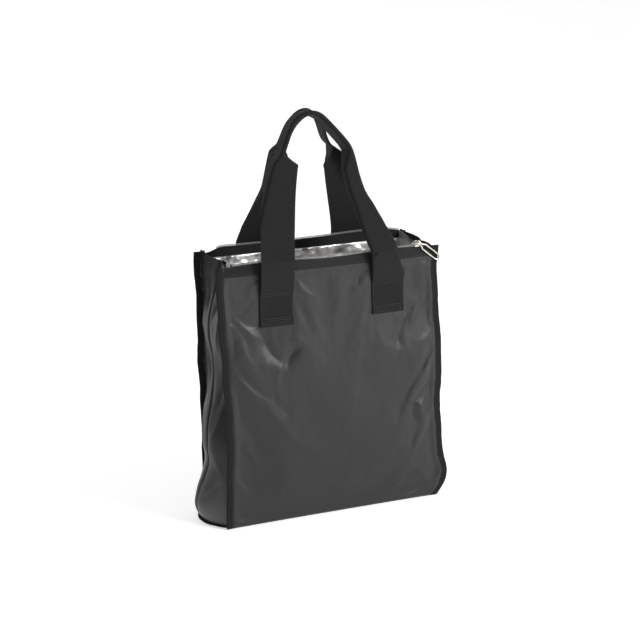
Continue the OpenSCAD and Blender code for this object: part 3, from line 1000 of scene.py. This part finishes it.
def makeHandle(side):
    word = "front" if side < 0 else "rear"
    lean = math.radians(handles["lean"])
    rim, stitch = rimAt[side], stitchAt[side]
    plane = handlePath(side)
    up = Vector((0, -side * math.sin(lean), math.cos(lean)))
    inward = Vector((0, -side * math.cos(lean), -math.sin(lean)))
    # the part from the stitch line to the rim stands off the wall
    rootUp = (rim - stitch).normalized()
    rootIn = Vector((0, rootUp.z, -rootUp.y)) if side < 0 else Vector((0, -rootUp.z, rootUp.y))
    rootLength = (rim - stitch).length
    feet = handles[side]["feet"]
    top = max(p.y for p in plane)
    middle = [k for k, p in enumerate(plane) if p.y == top][0]

    def rootRing(foot, first, t):
        # first is the handle line's own foot
        x = foot + (first.x - foot) * rise(t)
        swell = math.sin(t * math.pi) * 1.2 * mm
        point = stitch + rootUp * (rootLength * t) - rootIn * swell
        return Vector((x * mm, point.y, point.z))

    rows = []  # (point, way inwards, leg, height above the rim)
    steps = 16
    for k in range(steps):
        t = k / steps
        rows.append((rootRing(feet[0], plane[0], t), rootIn.lerp(inward, rise(t)), -1, t * 42 - 42))
    for k, p in enumerate(plane):
        point = Vector((p.x * mm, rim.y, rim.z)) + up * (p.y * mm)
        rows.append((point, inward, -1 if k <= middle else 1, p.y))
    for k in range(steps - 1, -1, -1):
        t = k / steps
        rows.append((rootRing(feet[1], plane[-1], t), rootIn.lerp(inward, rise(t)), 1, t * 42 - 42))
    count = len(rows)
    half = handles["webHalf"] * mm
    columns = 40
    outer, flat = [], []
    run = 0.0
    fullTurn = math.radians(86)  # how far the turned-in part is bent
    bend = 2.2 * mm * 1.5        # the length of webbing that the bend takes
    arm = bend / fullTurn
    for k, (point, back, leg, h) in enumerate(rows):
        ahead, behind = rows[min(k + 1, count - 1)][0], rows[max(k - 1, 0)][0]
        tangent = (ahead - behind).normalized()
        back = (back - tangent * back.dot(tangent)).normalized()
        across = tangent.cross(back).normalized()
        if k:
            run += (point - rows[k - 1][0]).length
        flats = handles[side]["flatLeft" if leg < 0 else "flatRight"]
        flatOut, flatIn = flatAt(h, flats["outer"], 0.45), flatAt(h, flats["inner"], 0.5)
        apart = handles["gripThick"] * mm / 2
        for i in range(columns + 1):
            s = -1 + 2 * i / columns
            outside = s > 0 if side < 0 else s < 0
            flatPart = min(flatOut if outside else flatIn, half)
            far = abs(s) * half
            # the cloth rounds the fold rather than breaking sharply
            over = max(far - flatPart, 0.0)
            rest = max(over - bend, 0.0)
            turned = min(over / bend, 1.0) * fullTurn
            slack = 0.999 if turned < fullTurn else 1.0
            spread = min(far, flatPart) + arm * math.sin(turned) * slack + rest * math.cos(fullTurn)
            deep = arm * (1 - math.cos(turned)) + rest * math.sin(fullTurn)
            # where both halves are folded they lie side by side
            shut = rise(1 - flatPart / (5 * mm))
            spread = spread * (1 - shut) + min(spread, apart) * shut
            wave = 0.5 * mm * noise.noise(Vector((run * 26, s * 0.8, side * 3.0)))
            outer.append(point + across * (-spread if s < 0 else spread) + back * (deep + wave))
            flat.append((s * half, run))
    faces = gridFaces(columns + 1, count, 0, side > 0)
    piece = makePiece(word + "Handle", outer, faces, webbing, flat)
    thicken(piece, webThick * 0.9, -1.0, 0.45 * mm)
    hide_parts(word + "_strap_root_left", word + "_strap_root_right", word + "_riser_left",
                word + "_riser_right", word + "_grip")
    word + "_handle_root"
    word + "_handle"
    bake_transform(piece)


for side in (-1, 1):
    makeHandle(side)


def makePatch(side, word, foot):
    wall = "front" if side < 0 else "rear"
    low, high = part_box(f"{wall}_patch_{word}")
    nu, nv = 26, 30
    thick = webThick * 0.9
    outer, flat = [], []
    half = handles["webHalf"] * mm
    for j in range(nv):
        z = low.z + (stitchAt[side].z + 0.4 * mm - low.z) * j / (nv - 1)
        for i in range(nu):
            s = -1 + 2 * i / (nu - 1)
            x = foot * mm + s * half
            skew = 0.3 * mm * noise.noise(Vector((z * 60, s, side * 5.0)))
            share = x / halfWide
            base = np.array(wallPoints(side, np.array(share), np.array(z), 0.0, 0.35), float)
            lift = thick + 0.25 * mm + 0.25 * mm * noise.noise(Vector((x * 90, z * 90, side)))
            y = side * max(abs(base[1]), faceY - 0.4 * mm) + side * lift
            # the lower end is turned under, so it is thicker there
            y += side * 0.7 * mm * math.exp(-((z - low.z) / (7 * mm)) ** 4)
            top = rise((z - (stitchAt[side].z - 8 * mm)) / (8 * mm))
            y = y * (1 - top) + side * (faceY + webThick) * top
            outer.append((x + skew, y, z))
            flat.append((s * half, z))
    name = f"{wall}{word.title()}Patch"
    piece = makePiece(name, outer, gridFaces(nu, nv, 0, side > 0), webbing, flat)
    thicken(piece, thick + 0.3 * mm, -1.0, 0.4 * mm)
    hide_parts(f"{wall}_patch_{word}")
    wall + "Panel"
    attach(piece, wall + "_wall")
    surface = {(i, j): Vector(outer[j * nu + i]) for i in range(nu) for j in range(nv)}

    def at(s, z):
        i = (s + 1) / 2 * (nu - 1)
        j = (z - low.z) / (stitchAt[side].z + 0.4 * mm - low.z) * (nv - 1)
        i0, j0 = min(int(i), nu - 2), min(max(int(j), 0), nv - 2)
        a = surface[(i0, j0)].lerp(surface[(i0 + 1, j0)], i - i0)
        b = surface[(i0, j0 + 1)].lerp(surface[(i0 + 1, j0 + 1)], i - i0)
        return a.lerp(b, j - j0)

    # close rows at the foot, a box, and the line across near the top
    edge = 0.93
    levels = [low.z + d * mm for d in (2.5, 5.0, 7.5, 10.0)] + [high.z - d * mm for d in (1.6, 4.2)]
    rows = [(-edge, z, edge, z) for z in levels]
    rows += [(s, low.z + 10 * mm, s, high.z - 4 * mm) for s in (-edge, edge)]
    for n, (s0, z0, s1, z1) in enumerate(rows):
        line = [at(s0 + (s1 - s0) * t / 24, z0 + (z1 - z0) * t / 24) for t in range(25)]
        makeStitches(f"{wall}{word.title()}PatchStitches{n}", line, side, wall + "_wall", 2.3, 0.9, 0.26)


for side in (-1, 1):
    for word, foot in zip(("left", "right"), handles[side]["feet"]):
        makePatch(side, word, foot)
print("handles made")


sliderLow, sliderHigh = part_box("slider_body")
pinLow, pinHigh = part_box("slider_pin")
slider = {
    "bridgeRise": 4.0,  # how high the arched bridge stands, mm
    "lugDrop": 3.9,     # how far the plate lies under the lug's top, mm
    "softEdge": 0.28,   # mm
}


def addBox(points, faces, low, high):
    a = len(points)
    for z in (low[2], high[2]):
        for x, y in ((low[0], low[1]), (high[0], low[1]), (high[0], high[1]), (low[0], high[1])):
            points.append((x, y, z))
    faces += [(a, a + 3, a + 2, a + 1), (a + 4, a + 5, a + 6, a + 7)]
    faces += [(a + i, a + (i + 1) % 4, a + 4 + (i + 1) % 4, a + 4 + i) for i in range(4)]


def makeSlider():
    cx = (sliderLow.x + sliderHigh.x) / 2
    cy = (sliderLow.y + sliderHigh.y) / 2
    plateTop = sliderHigh.z - slider["lugDrop"] * mm
    length, wide = sliderHigh.x - sliderLow.x, sliderHigh.y - sliderLow.y
    points, faces = [], []
    # a shield-shaped top plate: broad at the open end, narrow at the closing end
    outline = []
    for k in range(48):
        x, y = math.cos(math.tau * k / 48), math.sin(math.tau * k / 48)
        flare = 1.0 if x < 0 else 0.86
        across = math.copysign(wide / 2 * flare * abs(y) ** 0.6, y)
        outline.append((math.copysign(length / 2 * abs(x) ** 0.75, x), across))
    for drop, grow in ((1.5, 0.92), (1.2, 1.0), (0.4, 1.0), (0.0, 0.9)):
        for x, y in outline:
            points.append((cx + x * grow, cy + y * grow, plateTop - drop * mm))
    faces += gridFaces(48, 4, 0, False, True)
    faces.append(tuple(reversed(range(48))))
    faces.append(tuple(range(3 * 48, 4 * 48)))
    for s in (-1, 1):
        edge = cy + s * (wide / 2 - 0.5 * mm)
        addBox(points, faces, (cx - length * 0.42, edge - 0.45 * mm, plateTop - 3.6 * mm),
               (cx + length * 0.36, edge + 0.45 * mm, plateTop - 1.2 * mm))
    addBox(points, faces, (cx + 0.2 * mm, cy - 0.5 * mm, sliderLow.z + 0.2 * mm),
           (cx + length * 0.45, cy + 0.5 * mm, plateTop - 1.2 * mm))
    addBox(points, faces, (cx - length * 0.45, cy - 0.5 * mm, sliderLow.z),
           (cx + length * 0.45, cy + 0.5 * mm, sliderLow.z + 1.0 * mm))
    # the arched bridge that holds the pin
    arch = []
    for k in range(17):
        a = math.pi * k / 16
        climb = math.sin(a) * slider["bridgeRise"] * mm
        arch.append((cx - math.cos(a) * length * 0.34, plateTop - 0.3 * mm + climb))
    start = len(points)
    for x, z in arch:
        dx, dz = x - cx, z - plateTop
        size = math.hypot(dx, dz) or 1
        nx, nz = dx / size, dz / size
        for y, d in ((-1.5, 0.0), (1.5, 0.0), (1.5, -0.9), (-1.5, -0.9)):
            points.append((x + nx * d * mm, cy + y * mm, z + nz * d * mm))
    faces += gridFaces(4, 17, start, False, True)
    faces.append(tuple(start + i for i in (3, 2, 1, 0)))
    faces.append(tuple(start + 64 + i for i in range(4)))
    piece = makePiece("zipSlider", points, faces, metal)
    roundEdges(piece, slider["softEdge"] * mm, 3, 35)
    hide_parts("slider_body")
    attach(piece, "zip_slider")


def makeWire(name, path, radius, finish, ring=12):
    # a round wire bent into a closed loop
    points = []
    n = len(path)
    last = None
    for k, p in enumerate(path):
        tangent = (path[(k + 1) % n] - path[k - 1]).normalized()
        if last is None:
            last = tangent.cross(Vector((0, 1, 0.01))).normalized()
        one = (last - tangent * last.dot(tangent)).normalized()
        last = one
        two = tangent.cross(one)
        for i in range(ring):
            t = math.tau * i / ring
            points.append(p + (one * math.cos(t) + two * math.sin(t)) * radius)
    faces = gridFaces(ring, n, 0, False, True)
    for i in range(ring):
        k = (i + 1) % ring
        faces.append(((n - 1) * ring + i, (n - 1) * ring + k, k, i))
    return makePiece(name, points, faces, finish)


pull = {
    "length": 38.6, "half": 3.5, "wire": 1.2, "eye": 1.85,  # mm, the last three are half widths
    "hang": 38,                                              # how far it hangs down at rest, degrees
}


def makePull():
    hinge = pivots["pull_swing"]
    length, half, eye = pull["length"], pull["half"], pull["eye"]
    drop = math.radians(pull["hang"])
    along = Vector((math.cos(drop), 0, -math.sin(drop)))
    over = Vector((math.sin(drop), 0, math.cos(drop)))
    path = []

    def at(a, b):
        return hinge + along * (a * mm) + over * (b * mm)

    # the eye round the pin, a narrow neck and the long loop, as one bent wire
    for k in range(15):
        turn = math.radians(40 + 280 * k / 14)
        path.append(at(math.cos(turn) * eye, math.sin(turn) * eye))
    neck = [(3.0, 1.15), (5.5, 1.35), (8.0, 2.2)]
    path += [at(a, -b) for a, b in neck]
    for k in range(8):
        t = k / 7
        path.append(at(10 + (length - 14.5) * t, -half - 0.25 * math.sin(t * math.pi)))
    for k in range(1, 14):
        turn = math.radians(-90 + 180 * k / 14)
        path.append(at(length - 4.2 + math.cos(turn) * half, math.sin(turn) * half))
    for k in range(8):
        t = k / 7
        path.append(at(length - 4.5 - (length - 14.5) * t, half + 0.25 * math.sin(t * math.pi)))
    path += [at(a, b) for a, b in reversed(neck)]
    smooth = []
    n = len(path)
    for k in range(n):
        p0, p1, p2, p3 = path[k - 1], path[k], path[(k + 1) % n], path[(k + 2) % n]
        smooth += [spline(p0, p1, p2, p3, t) for t in (0.0, 0.33, 0.66)]
    piece = makeWire("wirePull", smooth, pull["wire"] * mm, metal)
    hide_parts("zip_pull")
    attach(piece, "zip_pull")


def makePin():
    cx, cz = (pinLow.x + pinHigh.x) / 2, (pinLow.z + pinHigh.z) / 2
    # (y, radius in mm) from the plain end to the head
    rows = [(pinHigh.y, 0.5), (pinHigh.y - 0.2 * mm, 0.8)]
    rows += [(pinLow.y + y * mm, r) for y, r in ((1.0, 0.8), (0.9, 1.5), (0.5, 1.7), (0.1, 1.4), (0.0, 0.7))]
    points = []
    for y, r in rows:
        for k in range(24):
            a = math.tau * k / 24
            points.append((cx + math.cos(a) * r * mm, y, cz + math.sin(a) * r * mm))
    faces = gridFaces(24, len(rows), 0, False, True)
    faces.append(tuple(reversed(range(24))))
    faces.append(tuple(range((len(rows) - 1) * 24, len(rows) * 24)))
    piece = makePiece("sliderPin", points, faces, metal)
    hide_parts("slider_pin")
    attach(piece, "zip_slider")


makeSlider()
makePin()
makePull()
print("slider made")

# the stops are covered with the tape's own cloth
for node in ("front_zip_stop", "rear_zip_stop"):
    part = frame["nodes"][node]
    part.data.materials.clear()
    part.data.materials.append(thread.material)


endTape = {
    "bow": 12,       # how far it stands out past the gusset, mm
    "below": 3,      # how far it reaches under and over the drawn tape, mm
    "above": 1.5,
    "thick": 0.8,
}


def makeEndTape():
    low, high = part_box("zip_end_tape")
    steps, rows = 40, 7
    start = Vector((high.x - 0.4 * mm, high.y, 0))
    end = Vector((low.x + 0.8 * mm, low.y, 0))
    outer, flat = [], []
    for k in range(steps):
        t = k / (steps - 1)
        p = start.lerp(end, t)
        bow = math.sin(t * math.pi) ** 0.8 * endTape["bow"] * mm
        bottom, top = low.z - endTape["below"] * mm, high.z + endTape["above"] * mm
        for j in range(rows):
            u = j / (rows - 1)
            z = bottom + (top - bottom) * u - bow * 0.1
            outer.append((p.x + bow + 0.5 * mm * math.sin(u * 2.5 + t * 7), p.y, z))
            flat.append((t * 0.1, z))
    piece = makePiece("zipEndTape", outer, gridFaces(rows, steps), zipTape, flat)
    thicken(piece, endTape["thick"] * mm, 0.0)
    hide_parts("zip_end_tape")
    foldWithBag(piece)


makeEndTape()
print("end tape made")


studio = {
    "azimuth": -26.073, "elevation": 14.749,  # where the camera stands, degrees
    "distance": 2.6288, "target": (0.0004, 0.0, 0.25223), "lens": 112.5,
    "key": 58.0, "fill": 2.4, "top": 12.0,    # watts
    "air": 0.16, "floorGlow": 0.58,
}


def makeFloor():
    finish = Finish("paleFloor", Roughness=0.9, Specular_IOR_Level=0.2, Emission_Color=(1, 1, 1, 1),
                    Emission_Strength=studio["floorGlow"])
    grain = finish.cells(finish.place(), 3.0, 2.0, 0.5)
    finish.feed(Base_Color=finish.mixed(grain, (0.93, 0.93, 0.93), (0.95, 0.95, 0.95)))
    steps, wide = 24, 9.0
    points = []
    bend = 2.5  # the radius of the curve up into the back wall, m
    for j in range(steps + 1):
        t = j / steps
        if t < 0.5:
            y, z = -6 + t * 18.0, 0.0
        else:
            a = (t - 0.5) * math.pi
            y, z = 3.0 + math.sin(a) * bend, bend - math.cos(a) * bend
        points += [(-wide, y, z), (wide, y, z)]
    points += [(-wide, 5.5, 9.0), (wide, 5.5, 9.0)]
    floor = makePiece("paleFloor", points, gridFaces(2, steps + 2), finish)


makeFloor()


def makeLight(name, spot, energy, size):
    data = bpy.data.lights.new(name, "AREA")
    data.energy, data.shape, data.size = energy, "SQUARE", size
    lamp = bpy.data.objects.new(name, data)
    bpy.context.scene.collection.objects.link(lamp)
    lamp.location = spot
    lamp.rotation_euler = (Vector((0, 0, 0.2)) - Vector(spot)).to_track_quat("-Z", "Y").to_euler()


makeLight("keyLight", (1.55, -2.1, 1.15), studio["key"], 1.1)
makeLight("fillLight", (-2.4, -1.2, 1.0), studio["fill"], 1.6)
makeLight("topLight", (0.7, -0.2, 2.6), studio["top"], 2.2)

world = bpy.data.worlds.new("softAir")
world.use_nodes = True
air = world.node_tree.nodes["Background"]
air.inputs["Color"].default_value = (1, 1, 1, 1)
air.inputs["Strength"].default_value = studio["air"]
bpy.context.scene.world = world
bpy.context.scene.view_settings.view_transform = "Standard"

azimuth, elevation = math.radians(studio["azimuth"]), math.radians(studio["elevation"])
level = math.cos(elevation)
back = Vector((math.sin(azimuth) * level, -math.cos(azimuth) * level, math.sin(elevation)))
cameraData = bpy.data.cameras.new("camera")
cameraData.lens, cameraData.sensor_width, cameraData.clip_end = studio["lens"], 36.0, 60.0
camera = bpy.data.objects.new("camera", cameraData)
bpy.context.scene.collection.objects.link(camera)
camera.location = Vector(studio["target"]) + back * studio["distance"]
camera.rotation_euler = (-back).to_track_quat("-Z", "Y").to_euler()
bpy.context.scene.camera = camera
